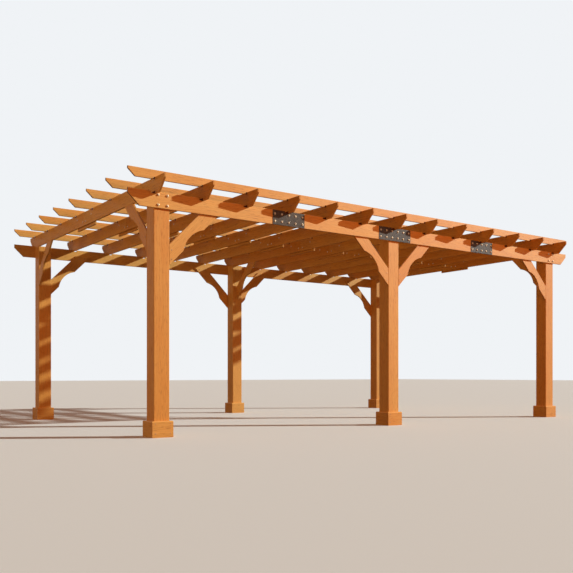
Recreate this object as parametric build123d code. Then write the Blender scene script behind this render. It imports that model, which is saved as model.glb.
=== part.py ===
from build123d import *
import os
from math import sqrt

# Free-standing timber pergola, in millimetres, +Z up.
# Origin on the ground in the middle of the six posts: X runs along the headers, Y from the front to the back.

# Posts: two rows of three
post_size = 148.0
post_height = 2093.0
post_pitch_x = 2728.0
post_pitch_y = 3202.0
posts_per_row = 3
post_edge = 6.0

# Skirts: four boards boxed around the foot of each post
skirt_board = 25.0
skirt_height = 142.0
skirt_joint_gap = 0.5
skirt_bevel = 8.0

# Headers: one line of boards on the outer face of each row of posts, notched from above for the rafters
header_depth = 140.0
header_thickness = 19.0
header_overhang = 246.0
header_notch_depth = 19.0
header_notch_gap = 38.0
header_nose = 40.0
header_tail_run = 106.0
header_joint_gap = 1.0

# A header is jointed under every third rafter
rafters_per_header_board = 3

# Steel splice plates over the header joints, with the header's own notch in the top edge
plate_thickness = 3.0
plate_margin = 1.0
plate_corner = 5.0
outer_plate_width = 375.0
middle_plate_width = 457.0

# Rafters: two boards end to end, held by a splice board that hangs a little lower than they do
rafter_count = 13
rafter_depth = 140.0
rafter_thickness = 19.0
rafter_overhang = 182.0
rafter_nose = 35.0
rafter_tail_run = 105.0
rafter_joint_gap = 1.0
rafter_splice_thickness = 19.0
rafter_splice_depth = 140.0
rafter_splice_drop = 26.0

# Purlins: laid across the rafters, notched from below
purlin_count = 8
purlin_depth = 80.0
purlin_thickness = 19.0
purlin_notch_depth = 19.0
purlin_notch_gap = 12.0
purlin_overhang = 246.0
purlin_nose = 20.0
purlin_tail_run = 66.0

# Knee braces: boards at 45 degrees with a hollow cut in the lower edge
brace_width = 127.0
brace_thickness = 19.0
brace_drop = 297.0
brace_lap = 70.0
hollow_chord = 281.0
hollow_rise = 44.0

# Every board has eased long edges, and a notch is close to its rafter on one side and open on the other
eased_edge = 2.0
notch_close_gap = 1.0

# Places worked out from the sizes above
post_xs = [(i - (posts_per_row - 1) / 2) * post_pitch_x for i in range(posts_per_row)]
post_y = post_pitch_y / 2
post_half = post_size / 2
end_x = post_xs[-1] + post_half
face_y = post_y + post_half

rafter_bottom = post_height
rafter_top = rafter_bottom + rafter_depth
rafter_half_length = face_y + header_thickness + rafter_overhang
rafter_pitch = (2 * end_x - rafter_thickness) / (rafter_count - 1)
rafter_xs = [-end_x + rafter_thickness / 2 + i * rafter_pitch for i in range(rafter_count)]

header_top = rafter_bottom + header_notch_depth
header_bottom = header_top - header_depth
header_half_length = end_x + header_overhang
header_centre_y = face_y + header_thickness / 2
header_joint_xs = rafter_xs[rafters_per_header_board:-1:rafters_per_header_board]

purlin_bottom = rafter_top - purlin_notch_depth
purlin_half_length = end_x + purlin_overhang
purlin_pitch = 2 * header_centre_y / (purlin_count - 1)
purlin_ys = [-header_centre_y + i * purlin_pitch for i in range(purlin_count)]

# A splice board ends below the outer faces of the two middle purlins
splice_half_length = purlin_ys[purlin_count // 2] + purlin_thickness / 2

row_names = {-1: "front", 1: "back"}
place_names = ["left", "middle", "right"]


def box_between(low, high):
    """A box from its lowest to its highest corner."""
    size = [b - a for a, b in zip(low, high)]
    return Location(low) * Box(*size, align=(Align.MIN, Align.MIN, Align.MIN))


def tailed_profile(half_length, depth, nose, run):
    """Side outline of a board whose two ends have a short nose and a slanted tail, bottom edge at height 0."""
    points = [
        (-half_length, depth),
        (-half_length, depth - nose),
        (-half_length + run, 0),
        (half_length - run, 0),
        (half_length, depth - nose),
        (half_length, depth),
    ]
    return make_face(Polyline(*points, close=True))


def eased_board(plane, profile, thickness):
    """A board cut from its side outline on a plane through its middle, with the edges of both faces eased."""
    board = extrude(plane * profile, thickness / 2, both=True)
    along = Axis(plane.origin, plane.z_dir)
    faces = board.faces().filter_by(along)
    return chamfer(faces.edges(), eased_edge)


def board_along_x(profile, thickness, y, z):
    """A board on edge along X, centred on y, with the bottom of its outline at z."""
    return Pos(0, y, z) * eased_board(Plane.XZ, profile, thickness)


def board_along_y(profile, thickness, x, z):
    """A board on edge along Y, centred on x, with the bottom of its outline at z."""
    return Pos(x, 0, z) * eased_board(Plane.YZ, profile, thickness)


def notch_row(y, reach, low, high, gaps):
    """The cuts that a cross board needs, one for each rafter, through all that lies within reach of y.

    The gaps are those to the left and to the right of a rafter.
    """
    cuts = []
    for x in rafter_xs:
        left = x - rafter_thickness / 2 - gaps[0]
        right = x + rafter_thickness / 2 + gaps[1]
        cuts.append(box_between((left, y - reach, low), (right, y + reach, high)))
    return cuts


def header_notches(side):
    """The cuts in a header and its plates, down to the underside of the rafters.

    The back header is the front one turned round, so its notches are open on the right.
    """
    gaps = (header_notch_gap, notch_close_gap)
    if side > 0:
        gaps = (notch_close_gap, header_notch_gap)
    reach = header_thickness / 2 + plate_thickness
    above = header_top + header_notch_depth
    return notch_row(side * header_centre_y, reach, rafter_bottom, above, gaps)


def post(x, y):
    """One square post with eased corners and flat ends."""
    outline = RectangleRounded(post_size, post_size, post_edge)
    return Pos(x, y, 0) * extrude(outline, post_height)


def skirt(x, y):
    """Four bevelled boards around the foot of a post, butted at the corners."""
    outer = post_half + skirt_board
    side = post_half - skirt_joint_gap
    profile = make_face(Polyline(
        (post_half, 0),
        (outer, 0),
        (outer, skirt_height - skirt_bevel),
        (outer - skirt_bevel, skirt_height),
        (post_half, skirt_height),
        close=True,
    ))
    boards = []
    for turn, reach in ((0, side), (180, side), (90, outer), (270, outer)):
        board = extrude(Plane.XZ * profile, reach, both=True)
        boards.append(Pos(x, y, 0) * Rot(0, 0, turn) * board)
    return boards


def header(side):
    """The four boards of one header, between its tails and its three joints."""
    y = side * header_centre_y
    profile = tailed_profile(header_half_length, header_depth, header_nose, header_tail_run)
    line = board_along_x(profile, header_thickness, y, header_bottom)
    line -= header_notches(side)
    for x in header_joint_xs:
        low = (x - header_joint_gap / 2, y - header_thickness, header_bottom)
        high = (x + header_joint_gap / 2, y + header_thickness, header_top)
        line -= box_between(low, high)
    return line.solids()


def header_plates(side):
    """Steel plates with rounded corners over the header's joints, the one at the middle post wider."""
    y = side * (face_y + header_thickness + plate_thickness / 2)
    z = header_bottom + header_depth / 2
    plates = []
    for x in header_joint_xs:
        width = middle_plate_width if abs(x) < post_half else outer_plate_width
        outline = RectangleRounded(width, header_depth - 2 * plate_margin, plate_corner)
        plate = Pos(x, y, z) * extrude(Plane.XZ * outline, plate_thickness / 2, both=True)
        plate -= header_notches(side)
        plates += plate.solids()
    return plates


def rafter(x):
    """Two boards end to end, each with one shaped tail."""
    profile = tailed_profile(rafter_half_length, rafter_depth, rafter_nose, rafter_tail_run)
    line = board_along_y(profile, rafter_thickness, x, rafter_bottom)
    low = (x - rafter_thickness, -rafter_joint_gap / 2, rafter_bottom)
    high = (x + rafter_thickness, rafter_joint_gap / 2, rafter_top)
    line -= box_between(low, high)
    return line.solids()


def rafter_splices():
    """One splice board on the right face of each rafter, which shows below the rafter."""
    profile = make_face(Polyline(
        (-splice_half_length, 0),
        (splice_half_length, 0),
        (splice_half_length, rafter_splice_depth),
        (-splice_half_length, rafter_splice_depth),
        close=True,
    ))
    beside = (rafter_thickness + rafter_splice_thickness) / 2
    bottom = rafter_bottom - rafter_splice_drop
    return [board_along_y(profile, rafter_splice_thickness, x + beside, bottom) for x in rafter_xs]


def purlin(y):
    """A long board across all the rafters, with a shaped tail at both ends."""
    profile = tailed_profile(purlin_half_length, purlin_depth, purlin_nose, purlin_tail_run)
    line = board_along_x(profile, purlin_thickness, y, purlin_bottom)
    below = purlin_bottom - purlin_notch_depth
    line -= notch_row(y, purlin_thickness, below, rafter_top, (purlin_notch_gap, notch_close_gap))
    return line.solids()


def brace_profile(lap):
    """Side outline of a knee brace that leans to the right, with its foot on the line x = 0.

    Heights count from the bottom of what the brace carries; lap is how far the top runs on above that.
    """
    outer = brace_drop + brace_width * sqrt(2)
    half_outer = outer / 2
    half_step = hollow_chord / 2 / sqrt(2)
    sink = hollow_rise / sqrt(2)
    start = (half_outer - half_step, -half_outer - half_step)
    middle = (half_outer - sink, -half_outer + sink)
    end = (half_outer + half_step, -half_outer + half_step)
    edges = [
        Line((0, -brace_drop), (0, -outer)),
        Line((0, -outer), start),
        ThreePointArc(start, middle, end),
        Line(end, (outer + lap, lap)),
        Line((outer + lap, lap), (brace_drop + lap, lap)),
        Line((brace_drop + lap, lap), (0, -brace_drop)),
    ]
    return make_face(edges)


def header_brace(x, side, lean):
    """A brace from the side of a post up behind its header; lean is -1 to the left and 1 to the right."""
    board = eased_board(Plane.XZ, brace_profile(brace_lap), brace_thickness)
    if lean < 0:
        board = mirror(board, about=Plane.YZ)
    y = side * (face_y - brace_thickness / 2)
    return Pos(x + lean * post_half, y, header_bottom) * board


def rafter_brace(x, side, rafter_x):
    """A brace from the inner face of a post up to the rafter above it."""
    board = eased_board(Plane.YZ, brace_profile(0), brace_thickness)
    if side > 0:
        board = mirror(board, about=Plane.XZ)
    return Pos(rafter_x, side * (post_y - post_half), rafter_bottom) * board


def braces(index, side):
    """All the knee braces of one post."""
    x = post_xs[index]
    nearest = min(rafter_xs, key=lambda rafter_x: abs(rafter_x - x))
    leans = {0: (1,), 1: (-1, 1), 2: (-1,)}[index]
    found = [header_brace(x, side, lean) for lean in leans]
    found.append(rafter_brace(x, side, nearest))
    return found


def write_node(name, solids):
    """One STEP file for one named piece."""
    shape = solids[0] if len(solids) == 1 else Compound(label=name, children=list(solids))
    shape.label = name
    export_step(shape, f"parts/{name}.step")


def main():
    os.makedirs("parts", exist_ok=True)
    for side, row in row_names.items():
        for index, place in enumerate(place_names):
            x = post_xs[index]
            y = side * post_y
            write_node(f"post_{row}_{place}", [post(x, y)])
            write_node(f"skirt_{row}_{place}", skirt(x, y))
            write_node(f"braces_{row}_{place}", braces(index, side))
        write_node(f"header_{row}", header(side))
        write_node(f"header_plates_{row}", header_plates(side))
    for number, x in enumerate(rafter_xs, start=1):
        write_node(f"rafter_{number:02d}", rafter(x))
    write_node("rafter_splices", rafter_splices())
    for number, y in enumerate(purlin_ys, start=1):
        write_node(f"purlin_{number}", purlin(y))


main()
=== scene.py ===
import math

import bpy
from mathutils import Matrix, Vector


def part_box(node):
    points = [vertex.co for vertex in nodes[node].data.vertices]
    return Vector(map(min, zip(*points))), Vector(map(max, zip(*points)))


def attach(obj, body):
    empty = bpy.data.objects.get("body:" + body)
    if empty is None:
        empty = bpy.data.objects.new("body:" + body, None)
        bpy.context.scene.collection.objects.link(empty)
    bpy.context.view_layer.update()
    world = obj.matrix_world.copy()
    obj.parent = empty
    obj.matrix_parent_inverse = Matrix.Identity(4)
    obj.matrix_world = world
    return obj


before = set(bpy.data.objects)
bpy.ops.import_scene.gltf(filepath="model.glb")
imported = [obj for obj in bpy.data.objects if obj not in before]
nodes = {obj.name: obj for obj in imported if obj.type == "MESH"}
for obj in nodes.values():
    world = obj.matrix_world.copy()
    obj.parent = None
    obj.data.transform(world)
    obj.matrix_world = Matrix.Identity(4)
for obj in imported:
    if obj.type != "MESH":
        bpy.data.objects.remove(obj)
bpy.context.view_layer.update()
scene = bpy.context.scene
scene.view_settings.view_transform = "Standard"
rowSides = {"front": -1, "back": 1}  # which way along Y the outer face of each row looks
places = ("left", "middle", "right")
print("pergola: frame loaded,", len(nodes), "pieces")


# what the pieces measure in the frame
def boxMiddle(node):
    low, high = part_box(node)
    return (low + high) / 2


rafterNames = [f"rafter_{number:02d}" for number in range(1, 14)]
purlinNames = [f"purlin_{number}" for number in range(1, 9)]
rafterXs = [boxMiddle(name).x for name in rafterNames]
rafterPitch = rafterXs[1] - rafterXs[0]
jointXs = rafterXs[3:-1:3]  # the headers' boards meet under every third rafter
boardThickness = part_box("rafter_01")[1].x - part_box("rafter_01")[0].x


# camera, fitted to the photo's edges
view = {
    "place": (-5.578, -7.563, 0.541),
    "turn": -35.3,  # degrees, 0 looks along +Y
    "focalPixels": 747.74,
    "framePixels": 573,
    "horizonDrop": 88.3,  # pixels from the frame's middle down to the horizon
    "sensorWidth": 36,
}


def addCamera():
    data = bpy.data.cameras.new("camera")
    data.sensor_width = view["sensorWidth"]
    data.lens = view["focalPixels"] / view["framePixels"] * data.sensor_width
    data.shift_y = view["horizonDrop"] / view["framePixels"]
    camera = bpy.data.objects.new("camera", data)
    camera.location = view["place"]
    camera.rotation_euler = (math.radians(90), 0, math.radians(view["turn"]))
    scene.collection.objects.link(camera)
    scene.camera = camera


# small helpers for node trees: an input is given by its name, or by its number as in i2
def addNode(tree, kind, settings=None, **inputs):
    node = tree.nodes.new(kind)
    for name, value in (settings or {}).items():
        setattr(node, name, value)
    for name, value in inputs.items():
        setInput(tree, node, name.replace("_", " "), value)
    return node


def setInput(tree, node, name, value):
    byNumber = name[0] == "i" and name[1:].isdigit()
    socket = node.inputs[int(name[1:])] if byNumber else node.inputs[name]
    if isinstance(value, bpy.types.NodeSocket):
        tree.links.new(value, socket)
    else:
        socket.default_value = value


def calculate(tree, operation, a, b=0.0):
    return addNode(tree, "ShaderNodeMath", {"operation": operation}, i0=a, i1=b).outputs[0]


def times(tree, a, b):
    return calculate(tree, "MULTIPLY", a, b)


def vectorMath(tree, operation, a, b=(0, 0, 0)):
    return addNode(tree, "ShaderNodeVectorMath", {"operation": operation}, i0=a, i1=b).outputs[0]


def partsOf(tree, vector):
    return addNode(tree, "ShaderNodeSeparateXYZ", Vector=vector).outputs


def turned(tree, vector, axis, degrees):
    node = addNode(tree, "ShaderNodeVectorRotate", {"rotation_type": axis + "_AXIS"}, Vector=vector)
    node.inputs["Angle"].default_value = math.radians(degrees)
    return node.outputs[0]


def spread(tree, value, low, high, toLow=0.0, toHigh=1.0):
    node = addNode(tree, "ShaderNodeMapRange", {"interpolation_type": "SMOOTHSTEP"}, Value=value)
    ends = {"From Min": low, "From Max": high, "To Min": toLow, "To Max": toHigh}
    for name, number in ends.items():
        node.inputs[name].default_value = number
    return node.outputs[0]


def scaled(tree, tone, low, high):
    return calculate(tree, "ADD", low, times(tree, tone, high - low))


def between(tree, value, low, high):
    over = calculate(tree, "GREATER_THAN", value, low)
    under = calculate(tree, "LESS_THAN", value, high)
    return times(tree, over, under)


def blendColor(tree, factor, a, b, mode="MIX"):
    node = addNode(tree, "ShaderNodeMix", {"data_type": "RGBA", "blend_type": mode})
    setInput(tree, node, "i0", factor)
    setInput(tree, node, "i6", a)
    setInput(tree, node, "i7", b)
    return node.outputs[2]


def blendVector(tree, factor, a, b):
    node = addNode(tree, "ShaderNodeMix", {"data_type": "VECTOR"})
    setInput(tree, node, "i0", factor)
    setInput(tree, node, "i4", a)
    setInput(tree, node, "i5", b)
    return node.outputs[1]


def srgb(red, green, blue):
    channels = []
    for value in (red, green, blue):
        part = value / 255
        channels.append(part / 12.92 if part <= 0.04045 else ((part + 0.055) / 1.055) ** 2.4)
    return (*channels, 1)


def newMaterial(name):
    material = bpy.data.materials.new(name)
    material.use_nodes = True
    tree = material.node_tree
    place = addNode(tree, "ShaderNodeTexCoord").outputs["Object"]
    return material, tree, tree.nodes["Principled BSDF"], place


# stained cedar
cedarLook = {
    "early": srgb(227, 176, 88),
    "late": srgb(197, 128, 46),
    "redBoard": srgb(210, 131, 46),  # boards lean to one of these two
    "tanBoard": srgb(223, 171, 90),
    "fleck": srgb(150, 80, 24),
    # sawn end grain, darker, and also painted shade on ends that face away from the light
    "endGrainAndShade": srgb(84, 36, 10),
    "wornEdge": srgb(231, 180, 98),
    "notchShadeColor": srgb(84, 26, 8),  # painted shade where one board sits in another's notch, for the shadow in its open gap
    "boardStrength": 0.38,
    "ringStrength": 0.36,
    "streakStrength": 0.5,
    "patchStrength": 0.3,
    "fleckStrength": 0.5,
    "wornStrength": (0.25, 0.7),
    # how strongly the painted shade in the notches darkens the wood
    "notchShadeStrength": 0.95,
    "fibreShade": (0.9, 1.05),
    "ringsPerMetre": 170,
    # how many to a metre along the grain and across it
    "bends": (0.9, 4.0),
    "fibres": (5.0, 420),
    "streaks": (6.0, 150),
    "flecks": (16.0, 200),
    "patches": (1.6, 9.0),
    # between which values of its noise each mark goes from none to full
    "ringEdges": (0.34, 0.68),
    "fibreEdges": (0.3, 0.7),
    "streakEdges": (0.3, 0.72),
    "fleckEdges": (0.55, 0.72),
    "patchEdges": (0.35, 0.65),
    "wornEdges": (0.35, 0.6),
    "bendReach": 0.05,  # metres that the rings stray from round
    "logReach": (40.0, 0.5, 0.5),  # metres over which the boards are cut from their logs
    "roughness": (0.46, 0.62),
    "specular": 0.24,
    "roofSpecular": 0.14,
    "fibreRelief": 0.6,  # the rings have the rest of the bump
    "bumpStrength": 0.35,
    "bumpDepth": 0.0006,
    "draw": 9.43,  # another number gives every board another tone and place in its log
}


# each of these gives grain coordinates (along, across, across) and a number for the board
def postGrain(tree, place, name):
    local = vectorMath(tree, "SUBTRACT", place, tuple(boxMiddle(name)))
    return turned(tree, local, "Y", 90), 0.0


def purlinGrain(tree, place, name):
    return vectorMath(tree, "SUBTRACT", place, tuple(boxMiddle(name))), 0.0


def headerGrain(tree, place, name):
    local = vectorMath(tree, "SUBTRACT", place, tuple(boxMiddle(name)))
    boardLength = jointXs[1] - jointXs[0]
    firstBoard, lastBoard = -2.0, 1.0
    step = calculate(tree, "FLOOR", calculate(tree, "DIVIDE", partsOf(tree, place)[0], boardLength))
    board = calculate(tree, "MAXIMUM", step, firstBoard)
    return local, calculate(tree, "MINIMUM", board, lastBoard)


def rafterGrain(tree, place, name):
    local = vectorMath(tree, "SUBTRACT", place, tuple(boxMiddle(name)))
    board = calculate(tree, "GREATER_THAN", partsOf(tree, place)[1], 0.0)
    return turned(tree, local, "Z", -90), board


def spliceGrain(tree, place, name):
    low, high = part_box(name)
    start = low.x - (rafterPitch - (high.x - low.x) % rafterPitch) / 2
    x, y, z = partsOf(tree, place)
    away = calculate(tree, "SUBTRACT", x, start)
    board = calculate(tree, "FLOOR", calculate(tree, "DIVIDE", away, rafterPitch))
    across = calculate(tree, "SUBTRACT", away, times(tree, board, rafterPitch))
    height = calculate(tree, "SUBTRACT", z, (low.z + high.z) / 2)
    return addNode(tree, "ShaderNodeCombineXYZ", X=y, Y=across, Z=height).outputs[0], board


def skirtGrain(tree, place, name):
    local = vectorMath(tree, "SUBTRACT", place, tuple(boxMiddle(name)))
    postLow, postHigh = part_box(name.replace("skirt", "post"))
    reach = (postHigh.x - postLow.x) / 2
    x, y, z = partsOf(tree, local)
    frontOrBack = calculate(tree, "GREATER_THAN", calculate(tree, "ABSOLUTE", y), reach)
    grain = blendVector(tree, frontOrBack, turned(tree, local, "Z", -90), local)
    # boards 0 and 1 are the left and right ones, 2 and 3 the front and back ones
    leftOrRight = calculate(tree, "GREATER_THAN", x, 0.0)
    sideBoard = times(tree, calculate(tree, "SUBTRACT", 1.0, frontOrBack), leftOrRight)
    rowBoard = calculate(tree, "ADD", calculate(tree, "GREATER_THAN", y, 0.0), 2.0)
    return grain, calculate(tree, "ADD", times(tree, frontOrBack, rowBoard), sideBoard)


def braceGrain(tree, place, name):
    postMiddle = boxMiddle(name.replace("braces", "post"))
    local = vectorMath(tree, "SUBTRACT", place, (postMiddle.x, 0, 0))
    folded = vectorMath(tree, "ABSOLUTE", local)
    underHeader = calculate(tree, "GREATER_THAN", partsOf(tree, folded)[1], abs(postMiddle.y))
    headerWay = turned(tree, folded, "Y", 45)
    rafterWay = turned(tree, turned(tree, folded, "X", 45), "Z", -90)
    # board 0 is the one under a rafter, 1 and 2 are those on the post's left and right
    leftOrRight = calculate(tree, "GREATER_THAN", partsOf(tree, local)[0], 0.0)
    board = times(tree, underHeader, calculate(tree, "ADD", leftOrRight, 1.0))
    return blendVector(tree, underHeader, rafterWay, headerWay), board


# which faces of a board are sawn ends, and which are eased edges, by parts of their normals
faceLimits = {
    "square": 0.2,  # a sawn end leans less than this towards the board's side
    "end": 0.6,
    "eased": (0.3, 0.95),
    "postTop": 0.9,
    "postEased": (0.1, 0.5),
    "braceTop": 0.97,
    "braceEased": 0.45,
    "braceSide": 0.1,
}


def sizesOf(tree, normal):
    return [calculate(tree, "ABSOLUTE", part) for part in partsOf(tree, normal)]


def straightSides(tree, normal, endAxis, thinAxis):
    parts = sizesOf(tree, normal)
    squareToSide = calculate(tree, "LESS_THAN", parts[thinAxis], faceLimits["square"])
    endFace = times(tree, calculate(tree, "GREATER_THAN", parts[endAxis], faceLimits["end"]), squareToSide)
    return endFace, between(tree, parts[thinAxis], *faceLimits["eased"])


def alongSides(tree, normal):
    return straightSides(tree, normal, 0, 1)


def acrossSides(tree, normal):
    return straightSides(tree, normal, 1, 0)


def postSides(tree, normal):
    x, y, z = sizesOf(tree, normal)
    endFace = calculate(tree, "GREATER_THAN", z, faceLimits["postTop"])
    return endFace, spread(tree, calculate(tree, "MINIMUM", x, y), *faceLimits["postEased"])


def skirtSides(tree, normal):
    x, y, z = sizesOf(tree, normal)
    return 0.0, between(tree, z, *faceLimits["eased"])


def braceSides(tree, normal):
    x, y, z = sizesOf(tree, normal)
    top = calculate(tree, "GREATER_THAN", z, faceLimits["braceTop"])
    slanted = calculate(tree, "MINIMUM", calculate(tree, "MAXIMUM", x, y), z)
    edge = calculate(tree, "GREATER_THAN", slanted, faceLimits["braceEased"])
    oneWay = calculate(tree, "LESS_THAN", calculate(tree, "MINIMUM", x, y), faceLimits["braceSide"])
    return top, times(tree, calculate(tree, "SUBTRACT", 1.0, oneWay), edge)


# painted shade on a rafter where it sits in notches, for the shadow in their open gaps, and how many
# metres each takes to fade
notchShadeMarks = {
    "inside": (0.050, 0.030),  # from the header's inner face
    "outside": (0.002, 0.008),  # from its outer face
    "top": 0.006,  # above its top edge
    "purlinReach": (1.1, 1.5),  # in half thicknesses of a purlin
    "purlinStrength": 0.7,
    "purlinBottom": 0.004,
}


# 1 where painted shade darkens a rafter in a notch, 0 away from it: the header's notches are open on the
# rafter's left in front and on its right at the back, and only that side, where the gap shows shadow, is
# painted dark
def rafterNotchShade(tree, place):
    headerLow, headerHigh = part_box("header_back")
    x, y, z = partsOf(tree, place)
    away = calculate(tree, "ABSOLUTE", y)
    starts, full = (headerLow.y - fade for fade in notchShadeMarks["inside"])
    fromInside = spread(tree, away, starts, full)
    fades, gone = (headerHigh.y + fade for fade in notchShadeMarks["outside"])
    fromOutside = spread(tree, away, fades, gone, 1.0, 0.0)
    faceX = partsOf(tree, addNode(tree, "ShaderNodeNewGeometry").outputs["Normal"])[0]
    openSide = calculate(tree, "GREATER_THAN", times(tree, faceX, y), 0.0)
    inHeader = times(tree, times(tree, fromInside, fromOutside), openSide)
    low = spread(tree, z, headerHigh.z, headerHigh.z + notchShadeMarks["top"], 1.0, 0.0)

    # painted shade where the rafter passes under a purlin's notch, for the gap and the shadow there
    first = boxMiddle("purlin_1").y
    pitch = boxMiddle("purlin_2").y - first
    steps = calculate(tree, "DIVIDE", calculate(tree, "SUBTRACT", y, first), pitch)
    offStep = calculate(tree, "SUBTRACT", steps, calculate(tree, "ROUND", steps))
    halfSteps = boardThickness / 2 / abs(pitch)
    near, far = (halfSteps * reach for reach in notchShadeMarks["purlinReach"])
    strength = notchShadeMarks["purlinStrength"]
    inPurlin = spread(tree, calculate(tree, "ABSOLUTE", offStep), near, far, strength, 0.0)
    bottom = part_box("purlin_1")[0].z
    high = spread(tree, z, bottom - notchShadeMarks["purlinBottom"], bottom + notchShadeMarks["purlinBottom"])
    return calculate(tree, "MAXIMUM", times(tree, inHeader, low), times(tree, inPurlin, high))


# for each kind of piece, by its name's start: the first that fits is taken
woodKinds = {
    "post_": {"grain": postGrain, "sides": postSides, "endGrainAndShadeStrength": 0.5},
    "skirt_": {"grain": skirtGrain, "sides": skirtSides, "endGrainAndShadeStrength": 0.2},
    "braces_": {"grain": braceGrain, "sides": braceSides, "endGrainAndShadeStrength": 0.3},
    # header and purlin ends are darkened more: end grain and painted shade
    "header_front": {"grain": headerGrain, "sides": alongSides, "endGrainAndShadeStrength": 0.8},
    "header_back": {"grain": headerGrain, "sides": alongSides, "endGrainAndShadeStrength": 0.8},
    "rafter_splices": {"grain": spliceGrain, "sides": acrossSides, "endGrainAndShadeStrength": 0.3,
                       "specular": cedarLook["roofSpecular"]},
    # rafters get painted shade in their notches
    "rafter_": {"grain": rafterGrain, "sides": acrossSides, "endGrainAndShadeStrength": 0.18,
                "specular": cedarLook["roofSpecular"], "joints": rafterNotchShade},
    "purlin_": {"grain": purlinGrain, "sides": alongSides, "endGrainAndShadeStrength": 0.8},
}


def grainNoise(tree, inLog, counts, detail):
    along, across = counts
    stretched = vectorMath(tree, "MULTIPLY", inLog, (along, across, across))
    return addNode(tree, "ShaderNodeTexNoise", Vector=stretched, Scale=1.0, Detail=detail).outputs


def cedar(name, seed, kind):
    look = cedarLook
    material, tree, shader, place = newMaterial("cedar_" + name)

    def lean(color, tone, strength, target):
        return blendColor(tree, times(tree, tone, strength), color, target)

    # every board is cut from another place in another log
    grain, board = kind["grain"](tree, place, name)
    number = calculate(tree, "ADD", board, seed * look["draw"])
    chance = addNode(tree, "ShaderNodeTexWhiteNoise", {"noise_dimensions": "1D"}, W=number)
    shift = vectorMath(tree, "MULTIPLY", chance.outputs["Color"], look["logReach"])
    inLog = vectorMath(tree, "ADD", grain, shift)

    # growth rings about a bent pith
    bend = grainNoise(tree, inLog, look["bends"], 2.0)["Color"]
    offMiddle = vectorMath(tree, "SUBTRACT", bend, (0.5, 0.5, 0.5))
    bent = vectorMath(tree, "MULTIPLY", offMiddle, (0.0, look["bendReach"], look["bendReach"]))
    sideways = vectorMath(tree, "MULTIPLY", vectorMath(tree, "ADD", inLog, bent), (0.0, 1.0, 1.0))
    radius = addNode(tree, "ShaderNodeVectorMath", {"operation": "LENGTH"}, i0=sideways).outputs["Value"]
    rings = addNode(tree, "ShaderNodeTexNoise", {"noise_dimensions": "1D"},
                    W=times(tree, radius, look["ringsPerMetre"]), Scale=1.0, Detail=1.0)
    ringTone = spread(tree, rings.outputs["Fac"], *look["ringEdges"])

    # fibres, streaks, short dark flecks and broad patches along the grain
    fibres = grainNoise(tree, inLog, look["fibres"], 3.0)["Fac"]
    streaks = grainNoise(tree, inLog, look["streaks"], 4.0)["Fac"]
    flecks = grainNoise(tree, inLog, look["flecks"], 2.0)["Fac"]
    patches = grainNoise(tree, inLog, look["patches"], 2.0)["Fac"]
    fibreTone = spread(tree, fibres, *look["fibreEdges"])
    streakTone = spread(tree, streaks, *look["streakEdges"])
    fleckTone = spread(tree, flecks, *look["fleckEdges"])
    patchTone = spread(tree, patches, *look["patchEdges"])

    color = lean(look["early"], ringTone, look["ringStrength"], look["late"])
    color = lean(color, streakTone, look["streakStrength"], look["late"])
    color = lean(color, patchTone, look["patchStrength"], look["redBoard"])
    boardColor = blendColor(tree, chance.outputs["Value"], look["redBoard"], look["tanBoard"])
    color = blendColor(tree, look["boardStrength"], color, boardColor)
    color = lean(color, fleckTone, look["fleckStrength"], look["fleck"])
    shade = spread(tree, fibres, *look["fibreEdges"], *look["fibreShade"])
    shadeColor = addNode(tree, "ShaderNodeCombineColor", Red=shade, Green=shade, Blue=shade).outputs[0]
    color = blendColor(tree, 1.0, color, shadeColor, "MULTIPLY")

    # sawn ends are darker end grain, and on headers and purlins also painted shade, as their ends face
    # away from the light; eased edges are rubbed paler
    normal = addNode(tree, "ShaderNodeNewGeometry").outputs["Normal"]
    endFace, edgeFace = kind["sides"](tree, normal)
    color = lean(color, endFace, kind["endGrainAndShadeStrength"], look["endGrainAndShade"])
    worn = spread(tree, streaks, *look["wornEdges"], *look["wornStrength"])
    color = lean(color, edgeFace, worn, look["wornEdge"])

    # painted shade darkens the wood in a notch, and the wood there is dull
    rough = scaled(tree, fibreTone, *look["roughness"])
    if "joints" in kind:
        inNotchShade = times(tree, kind["joints"](tree, place), look["notchShadeStrength"])
        color = blendColor(tree, inNotchShade, color, look["notchShadeColor"])
        rough = calculate(tree, "MAXIMUM", rough, inNotchShade)

    tree.links.new(color, shader.inputs["Base Color"])
    tree.links.new(rough, shader.inputs["Roughness"])
    shader.inputs["Specular IOR Level"].default_value = kind.get("specular", look["specular"])
    fibreHeight = times(tree, fibreTone, look["fibreRelief"])
    ringHeight = times(tree, ringTone, 1 - look["fibreRelief"])
    height = calculate(tree, "ADD", fibreHeight, ringHeight)
    bump = addNode(tree, "ShaderNodeBump", Height=height, Strength=look["bumpStrength"],
                   Distance=look["bumpDepth"])
    tree.links.new(bump.outputs[0], shader.inputs["Normal"])
    return material


def dress(name, material):
    nodes[name].data.materials.clear()
    nodes[name].data.materials.append(material)


def dressWood():
    count = 0
    for seed, name in enumerate(sorted(nodes), start=1):
        start = next((start for start in woodKinds if name.startswith(start)), None)
        if start:
            dress(name, cedar(name, seed, woodKinds[start]))
            count += 1
    print("pergola: cedar on", count, "pieces")


# textured coating on the steel plates
plateLook = {
    "pale": srgb(92, 76, 54),
    "dark": srgb(36, 27, 20),
    "specksPerMetre": 110,
    "gritPerMetre": 420,
    "speckEdges": (0.4, 0.6),
    "gritEdges": (0.38, 0.62),
    "speckShare": 0.6,  # the grit has the rest of the tone
    "roughness": (0.4, 0.6),
    "specular": 0.2,
    "bumpStrength": 0.5,
    "bumpDepth": 0.0004,
}


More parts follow.
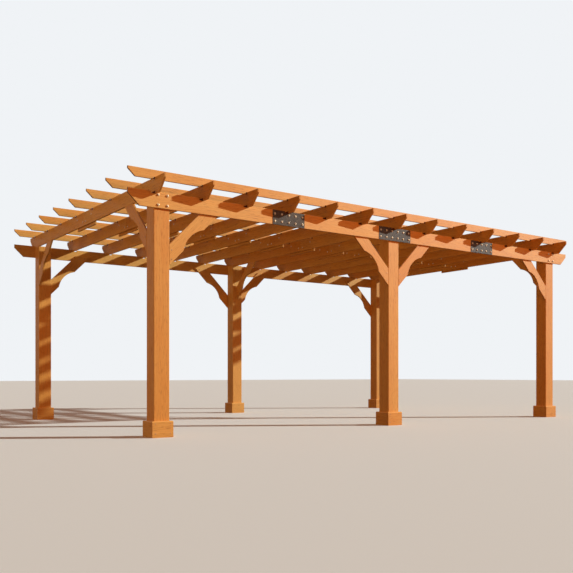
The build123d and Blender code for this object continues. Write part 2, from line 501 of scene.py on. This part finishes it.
def dressPlates():
    look = plateLook
    material, tree, shader, place = newMaterial("plateCoating")
    specks = addNode(tree, "ShaderNodeTexNoise", Vector=place, Scale=look["specksPerMetre"], Detail=2.0)
    grains = addNode(tree, "ShaderNodeTexNoise", Vector=place, Scale=look["gritPerMetre"], Detail=3.0)
    speck = spread(tree, specks.outputs["Fac"], *look["speckEdges"])
    grit = spread(tree, grains.outputs["Fac"], *look["gritEdges"])
    speckPart = times(tree, speck, look["speckShare"])
    tone = calculate(tree, "ADD", speckPart, times(tree, grit, 1 - look["speckShare"]))
    tree.links.new(blendColor(tree, tone, look["dark"], look["pale"]), shader.inputs["Base Color"])
    tree.links.new(scaled(tree, grit, *look["roughness"]), shader.inputs["Roughness"])
    shader.inputs["Specular IOR Level"].default_value = look["specular"]
    bump = addNode(tree, "ShaderNodeBump", Height=grit, Strength=look["bumpStrength"],
                   Distance=look["bumpDepth"])
    tree.links.new(bump.outputs[0], shader.inputs["Normal"])
    for row in rowSides:
        dress(f"header_plates_{row}", material)
    print("pergola: coating on", len(rowSides), "sets of plates")


# metal of bolts and screws
boltZinc = {
    "fresh": srgb(240, 218, 182),
    "worn": srgb(200, 174, 138),
    "spotsPerMetre": 700,
    "spotEdges": (0.35, 0.65),
    "metallic": 0.4,
    "roughness": (0.37, 0.52),
}

screwCoating = {
    "fresh": srgb(206, 158, 116),
    "worn": srgb(150, 104, 72),
    "spotsPerMetre": 700,
    "spotEdges": (0.35, 0.65),
    "metallic": 0.35,
    "roughness": (0.45, 0.60),
}


def metalMaterial(name, look):
    material, tree, shader, place = newMaterial(name)
    spots = addNode(tree, "ShaderNodeTexNoise", Vector=place, Scale=look["spotsPerMetre"], Detail=3.0)
    worn = spread(tree, spots.outputs["Fac"], *look["spotEdges"])
    tree.links.new(blendColor(tree, worn, look["fresh"], look["worn"]), shader.inputs["Base Color"])
    tree.links.new(scaled(tree, worn, *look["roughness"]), shader.inputs["Roughness"])
    shader.inputs["Metallic"].default_value = look["metallic"]
    return material


# a round head is built up ring by ring: washer, gap, domed cap with a drive recess
headShape = {
    "corners": 16,
    "defaults": {"Washer Radius": 0.010, "Washer Thickness": 0.0015, "Head Radius": 0.008,
                 "Head Height": 0.005, "Recess Radius": 0.003, "Recess Depth": 0.002},
    "seed": 3,
    # each ring: what its radius is a part of, which part, what its rise is a part of, which part
    "rings": (
        ("Washer Radius", 1.0, "Washer Thickness", 0.7),
        ("Washer Radius", 0.96, "Washer Thickness", 0.3),
        ("Head Radius", 1.0, None, 0.00001),  # rises by this many metres
        ("Head Radius", 1.0, "Head Height", 0.35),
        ("Head Radius", 0.93, "Head Height", 0.27),
        ("Head Radius", 0.76, "Head Height", 0.23),
        ("Recess Radius", 1.0, "Head Height", 0.15),
        ("Recess Radius", 0.8, "Recess Depth", -1.0),
    ),
}


def headTree(name, material):
    tree = bpy.data.node_groups.new(name, "GeometryNodeTree")
    tree.is_modifier = True
    face = tree.interface
    face.new_socket("Geometry", in_out="INPUT", socket_type="NodeSocketGeometry")
    for label, value in headShape["defaults"].items():
        face.new_socket(label, in_out="INPUT", socket_type="NodeSocketFloat").default_value = value
    face.new_socket("Seed", in_out="INPUT", socket_type="NodeSocketInt").default_value = headShape["seed"]
    face.new_socket("Geometry", in_out="OUTPUT", socket_type="NodeSocketGeometry")
    given = tree.nodes.new("NodeGroupInput").outputs
    result = tree.nodes.new("NodeGroupOutput")

    radius = given["Washer Radius"]
    disk = addNode(tree, "GeometryNodeMeshCircle", {"fill_type": "NGON"},
                   Vertices=headShape["corners"], Radius=radius)
    mesh = disk.outputs["Mesh"]
    top = None
    for radiusName, radiusPart, riseName, risePart in headShape["rings"]:
        newRadius = times(tree, given[radiusName], radiusPart)
        rise = times(tree, given[riseName], risePart) if riseName else risePart
        extrude = addNode(tree, "GeometryNodeExtrudeMesh", {"mode": "FACES"}, Mesh=mesh,
                          Offset_Scale=rise, Individual=False)
        if top is not None:
            tree.links.new(top, extrude.inputs["Selection"])
        top = extrude.outputs["Top"]
        ratio = calculate(tree, "DIVIDE", newRadius, radius)
        scale = addNode(tree, "GeometryNodeScaleElements", {"domain": "FACE"},
                        Geometry=extrude.outputs["Mesh"], Selection=top, Scale=ratio)
        mesh = scale.outputs["Geometry"]
        radius = newRadius

    # a copy at every point, facing its way and turned by chance
    points = addNode(tree, "GeometryNodeMeshToPoints", Mesh=given["Geometry"])
    facing = addNode(tree, "GeometryNodeInputNamedAttribute", {"data_type": "FLOAT_VECTOR"}, Name="facing")
    align = addNode(tree, "FunctionNodeAlignRotationToVector", {"axis": "Z"},
                    Vector=facing.outputs["Attribute"])
    spin = addNode(tree, "FunctionNodeRandomValue", {"data_type": "FLOAT"}, Seed=given["Seed"])
    spin.inputs[3].default_value = math.tau
    turn = addNode(tree, "FunctionNodeAxisAngleToRotation", Angle=spin.outputs[1])
    both = addNode(tree, "FunctionNodeRotateRotation", {"rotation_space": "LOCAL"},
                   Rotation=align.outputs[0], Rotate_By=turn.outputs[0])
    copies = addNode(tree, "GeometryNodeInstanceOnPoints", Points=points.outputs[0], Instance=mesh,
                     Rotation=both.outputs[0])
    real = addNode(tree, "GeometryNodeRealizeInstances", Geometry=copies.outputs[0])
    coat = addNode(tree, "GeometryNodeSetMaterial", Geometry=real.outputs[0], Material=material)
    tree.links.new(coat.outputs[0], result.inputs[0])
    return tree


def setBySocket(modifier, tree, values):
    for item in tree.interface.items_tree:
        if item.item_type == "SOCKET" and item.in_out == "INPUT" and item.name in values:
            modifier[item.identifier] = values[item.name]


def placeHeads(name, tree, spots, sizes):
    # spots are pairs of a point on a surface and the way that the head faces
    points = bpy.data.meshes.new(name + "Spots")
    points.from_pydata([spot for spot, way in spots], [], [])
    facing = points.attributes.new("facing", "FLOAT_VECTOR", "POINT")
    for index, (spot, way) in enumerate(spots):
        facing.data[index].vector = way
    carrier = bpy.data.objects.new(name + "Spots", points)
    scene.collection.objects.link(carrier)
    modifier = carrier.modifiers.new("heads", "NODES")
    modifier.node_group = tree
    setBySocket(modifier, tree, sizes)
    evaluated = carrier.evaluated_get(bpy.context.evaluated_depsgraph_get())
    mesh = bpy.data.meshes.new_from_object(evaluated)
    mesh.name = name
    piece = bpy.data.objects.new(name, mesh)
    scene.collection.objects.link(piece)
    carrier.modifiers.remove(modifier)
    bpy.data.objects.remove(carrier)
    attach(piece, "root")
    print("pergola:", name, len(spots), "heads,", len(mesh.polygons), "faces")


plateBolts = {
    "middleColumns": 6,  # on the plate at the middle post
    "outerColumns": 5,
    "columnStep": 0.081,
    "rowHeights": (0.033, 0.103),  # above the header's bottom edge
    "sizes": {"Washer Radius": 0.0105, "Washer Thickness": 0.0014, "Head Radius": 0.0085,
              "Head Height": 0.006, "Recess Radius": 0.0034, "Recess Depth": 0.003, "Seed": 4},
}

postBolts = {
    "sideStep": 0.0435,  # from the post's middle
    "rowHeights": (0.027, 0.113),  # above the header's bottom edge
    "sizes": {"Washer Radius": 0.0125, "Washer Thickness": 0.0016, "Head Radius": 0.0105,
              "Head Height": 0.0095, "Recess Radius": 0.004, "Recess Depth": 0.003, "Seed": 9},
}

spliceScrews = {
    "places": ((0.04, 0.040), (0.20, 0.088)),  # from the joint and above the rafter's bottom edge
    "sizes": {"Washer Radius": 0.0095, "Washer Thickness": 0.0010, "Head Radius": 0.0075,
              "Head Height": 0.0030, "Recess Radius": 0.0030, "Recess Depth": 0.0022, "Seed": 5},
}

braceScrews = {
    "footInset": 0.020,  # from the post's side
    "footDrops": (0.345, 0.425),  # below the header's or the rafter's bottom edge
    "lapRise": 0.034,  # above the header's bottom edge
    "lapReaches": (0.395, 0.465),  # from the post's side
    "topDrop": 0.020,  # below the rafter's bottom edge
    "topReaches": (0.330, 0.415),  # from the post's side
    "sizes": {"Washer Radius": 0.0058, "Washer Thickness": 0.0006, "Head Radius": 0.0050,
              "Head Height": 0.0014, "Recess Radius": 0.0024, "Recess Depth": 0.0012, "Seed": 7},
}

purlinScrews = {
    "rise": 0.041,  # above the purlin's bottom edge
    "sizes": {"Washer Radius": 0.0052, "Washer Thickness": 0.0005, "Head Radius": 0.0046,
              "Head Height": 0.0010, "Recess Radius": 0.0022, "Recess Depth": 0.0009, "Seed": 8},
}

skirtScrews = {
    "sideInset": 0.029,  # from the skirt's corner
    "rowHeights": (0.035, 0.120),  # above the floor
    "sizes": {"Washer Radius": 0.0048, "Washer Thickness": 0.0004, "Head Radius": 0.0044,
              "Head Height": 0.0006, "Recess Radius": 0.0022, "Recess Depth": 0.0007, "Seed": 6},
}


def plateBoltSpots():
    spots = []
    for row, side in rowSides.items():
        low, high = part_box(f"header_plates_{row}")
        face = low.y if side < 0 else high.y
        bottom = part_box(f"header_{row}")[0].z
        for x in jointXs:
            atMiddle = abs(x) < rafterPitch / 2
            columns = plateBolts["middleColumns"] if atMiddle else plateBolts["outerColumns"]
            for column in range(columns):
                along = x + (column - (columns - 1) / 2) * plateBolts["columnStep"]
                for rise in plateBolts["rowHeights"]:
                    spots.append(((along, face, bottom + rise), (0, side, 0)))
    return spots


def postBoltSpots():
    spots = []
    for row, side in rowSides.items():
        low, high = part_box(f"header_{row}")
        face = low.y if side < 0 else high.y
        for place in ("left", "right"):
            middle = boxMiddle(f"post_{row}_{place}").x
            for step in (-postBolts["sideStep"], postBolts["sideStep"]):
                for rise in postBolts["rowHeights"]:
                    spots.append(((middle + step, face, low.z + rise), (0, side, 0)))
    return spots


def spliceScrewSpots():
    spots = []
    for name in rafterNames:
        low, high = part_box(name)
        for away, rise in spliceScrews["places"]:
            for side in (-1, 1):
                spots.append(((low.x, side * away, low.z + rise), (-1, 0, 0)))
    return spots


def braceScrewSpots():
    look = braceScrews
    leans = {"left": (1,), "middle": (-1, 1), "right": (-1,)}  # to which sides of the post braces go
    spots = []
    for row, side in rowSides.items():
        headerLow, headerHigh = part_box(f"header_{row}")
        innerFace = headerHigh.y if side < 0 else headerLow.y
        for place in places:
            postLow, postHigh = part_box(f"post_{row}_{place}")
            middle = (postLow + postHigh) / 2
            half = (postHigh.x - postLow.x) / 2
            braceLow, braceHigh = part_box(f"braces_{row}_{place}")
            outside = braceLow.y if side < 0 else braceHigh.y
            inside = innerFace - side * boardThickness
            for lean in leans[place]:
                foot = middle.x + lean * half
                for drop in look["footDrops"]:
                    point = (foot + lean * look["footInset"], outside, headerLow.z - drop)
                    spots.append((point, (0, side, 0)))
                for reach in look["lapReaches"]:
                    point = (foot + lean * reach, inside, headerLow.z + look["lapRise"])
                    spots.append((point, (0, -side, 0)))
            # the brace under the rafter nearest to this post
            rafter = min(rafterNames, key=lambda name: abs(boxMiddle(name).x - middle.x))
            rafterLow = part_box(rafter)[0]
            foot = middle.y - side * half
            ends = [(look["footInset"], drop) for drop in look["footDrops"]]
            ends += [(reach, look["topDrop"]) for reach in look["topReaches"]]
            for reach, drop in ends:
                point = (rafterLow.x, foot - side * reach, rafterLow.z - drop)
                spots.append((point, (-1, 0, 0)))
    return spots


def purlinScrewSpots():
    spots = []
    for name in purlinNames:
        low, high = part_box(name)
        for x in rafterXs:
            spots.append(((x, high.y, low.z + purlinScrews["rise"]), (0, 1, 0)))
    return spots


def skirtScrewSpots():
    spots = []
    for row in rowSides:
        for place in places:
            low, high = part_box(f"skirt_{row}_{place}")
            middle = (low + high) / 2
            reach = (high.x - low.x) / 2
            for turn in range(4):
                out = Vector((math.cos(turn * math.pi / 2), math.sin(turn * math.pi / 2), 0))
                along = Vector((-out.y, out.x, 0))
                for step in (-1, 1):
                    point = middle + out * reach + along * step * (reach - skirtScrews["sideInset"])
                    for rise in skirtScrews["rowHeights"]:
                        spots.append(((point.x, point.y, rise), tuple(out)))
    return spots


def addFasteners():
    boltTree = headTree("boltHeads", metalMaterial("boltZinc", boltZinc))
    screwTree = headTree("screwHeads", metalMaterial("screwCoating", screwCoating))
    placeHeads("plate_bolts", boltTree, plateBoltSpots(), plateBolts["sizes"])
    placeHeads("post_bolts", boltTree, postBoltSpots(), postBolts["sizes"])
    placeHeads("splice_screws", boltTree, spliceScrewSpots(), spliceScrews["sizes"])
    placeHeads("brace_screws", screwTree, braceScrewSpots(), braceScrews["sizes"])
    placeHeads("purlin_screws", screwTree, purlinScrewSpots(), purlinScrews["sizes"])
    placeHeads("skirt_screws", screwTree, skirtScrewSpots(), skirtScrews["sizes"])


# floor, light and background
studio = {
    "floor": srgb(246, 245, 238),
    "floorBounce": srgb(94, 66, 48),  # what the floor throws back up, so that the roof keeps its depth
    "floorRoughness": 0.9,
    "floorReach": 60,
    "towardsSun": (0.80, -0.47, 0.385),
    "sunStrength": 3.9,
    "sunColor": (0.925, 1.0, 0.99),
    "sunSpread": 1.2,  # degrees
    "softboxes": {
        "left": {"place": (-8.2, -0.6, 1.5), "target": (0, -0.6, 1.5), "size": (2.4, 2.4),
                 "power": 76.0, "color": srgb(255, 219, 192)},
        "front": {"place": (1.0, -8.8, 2.9), "target": (0, 0, 1.4), "size": (5.0, 1.3),
                  "power": 225.0, "color": srgb(255, 146, 78)},
    },
    "fill": 0.17,
    "horizonFill": 0.2,  # added at eye level, none from horizonHeight up
    "horizonHeight": 0.7,  # as the sine of the angle above eye level
    "fillColor": srgb(255, 167, 112),
    "background": srgb(240, 243, 246),
}


def addFloor():
    material, tree, shader, place = newMaterial("floorPale")
    seen = addNode(tree, "ShaderNodeLightPath").outputs["Is Camera Ray"]
    color = blendColor(tree, seen, studio["floorBounce"], studio["floor"])
    tree.links.new(color, shader.inputs["Base Color"])
    shader.inputs["Roughness"].default_value = studio["floorRoughness"]
    mesh = bpy.data.meshes.new("floor")
    reach = studio["floorReach"]
    corners = [(-reach, -reach, 0), (reach, -reach, 0), (reach, reach, 0), (-reach, reach, 0)]
    mesh.from_pydata(corners, [], [(0, 1, 2, 3)])
    mesh.materials.append(material)
    floor = bpy.data.objects.new("floor", mesh)
    scene.collection.objects.link(floor)


def addSun():
    data = bpy.data.lights.new("sun", "SUN")
    data.energy = studio["sunStrength"]
    data.color = studio["sunColor"]
    data.angle = math.radians(studio["sunSpread"])
    sun = bpy.data.objects.new("sun", data)
    sun.rotation_euler = Vector(studio["towardsSun"]).to_track_quat("Z", "Y").to_euler()
    scene.collection.objects.link(sun)


def addSoftboxes(pieces):
    # they light the pieces only, or they would leave bright patches on the floor
    lit = bpy.data.collections.new("litBySoftboxes")
    for piece in pieces:
        lit.objects.link(piece)
    for name, box in studio["softboxes"].items():
        data = bpy.data.lights.new(name, "AREA")
        data.shape = "RECTANGLE"
        data.size, data.size_y = box["size"]
        data.energy = box["power"]
        data.color = box["color"][:3]
        softbox = bpy.data.objects.new(name, data)
        softbox.location = box["place"]
        away = Vector(box["place"]) - Vector(box["target"])
        softbox.rotation_euler = away.to_track_quat("Z", "Y").to_euler()
        softbox.visible_camera = False
        softbox.visible_glossy = False
        softbox.light_linking.receiver_collection = lit
        scene.collection.objects.link(softbox)


def addWorld():
    world = bpy.data.worlds.new("studio")
    world.use_nodes = True
    scene.world = world
    tree = world.node_tree
    light = tree.nodes["Background"]
    light.inputs["Color"].default_value = studio["fillColor"]
    way = addNode(tree, "ShaderNodeTexCoord").outputs["Generated"]
    height = calculate(tree, "ABSOLUTE", partsOf(tree, way)[2])
    brightest = studio["fill"] + studio["horizonFill"]
    glow = spread(tree, height, 0.0, studio["horizonHeight"], brightest, studio["fill"])
    tree.links.new(glow, light.inputs["Strength"])
    seen = addNode(tree, "ShaderNodeBackground", Color=studio["background"], Strength=1.0)
    path = addNode(tree, "ShaderNodeLightPath").outputs
    reflected = calculate(tree, "MAXIMUM", path["Is Glossy Ray"], path["Is Transmission Ray"])
    direct = calculate(tree, "MAXIMUM", path["Is Camera Ray"], reflected)
    mixed = addNode(tree, "ShaderNodeMixShader", i0=direct, i1=light.outputs[0], i2=seen.outputs[0])
    tree.links.new(mixed.outputs[0], tree.nodes["World Output"].inputs["Surface"])


addCamera()
dressWood()
dressPlates()
addFasteners()
pieces = [thing for thing in scene.objects if thing.type == "MESH"]
addFloor()
addSun()
addSoftboxes(pieces)
addWorld()
print("pergola: floor and light set")
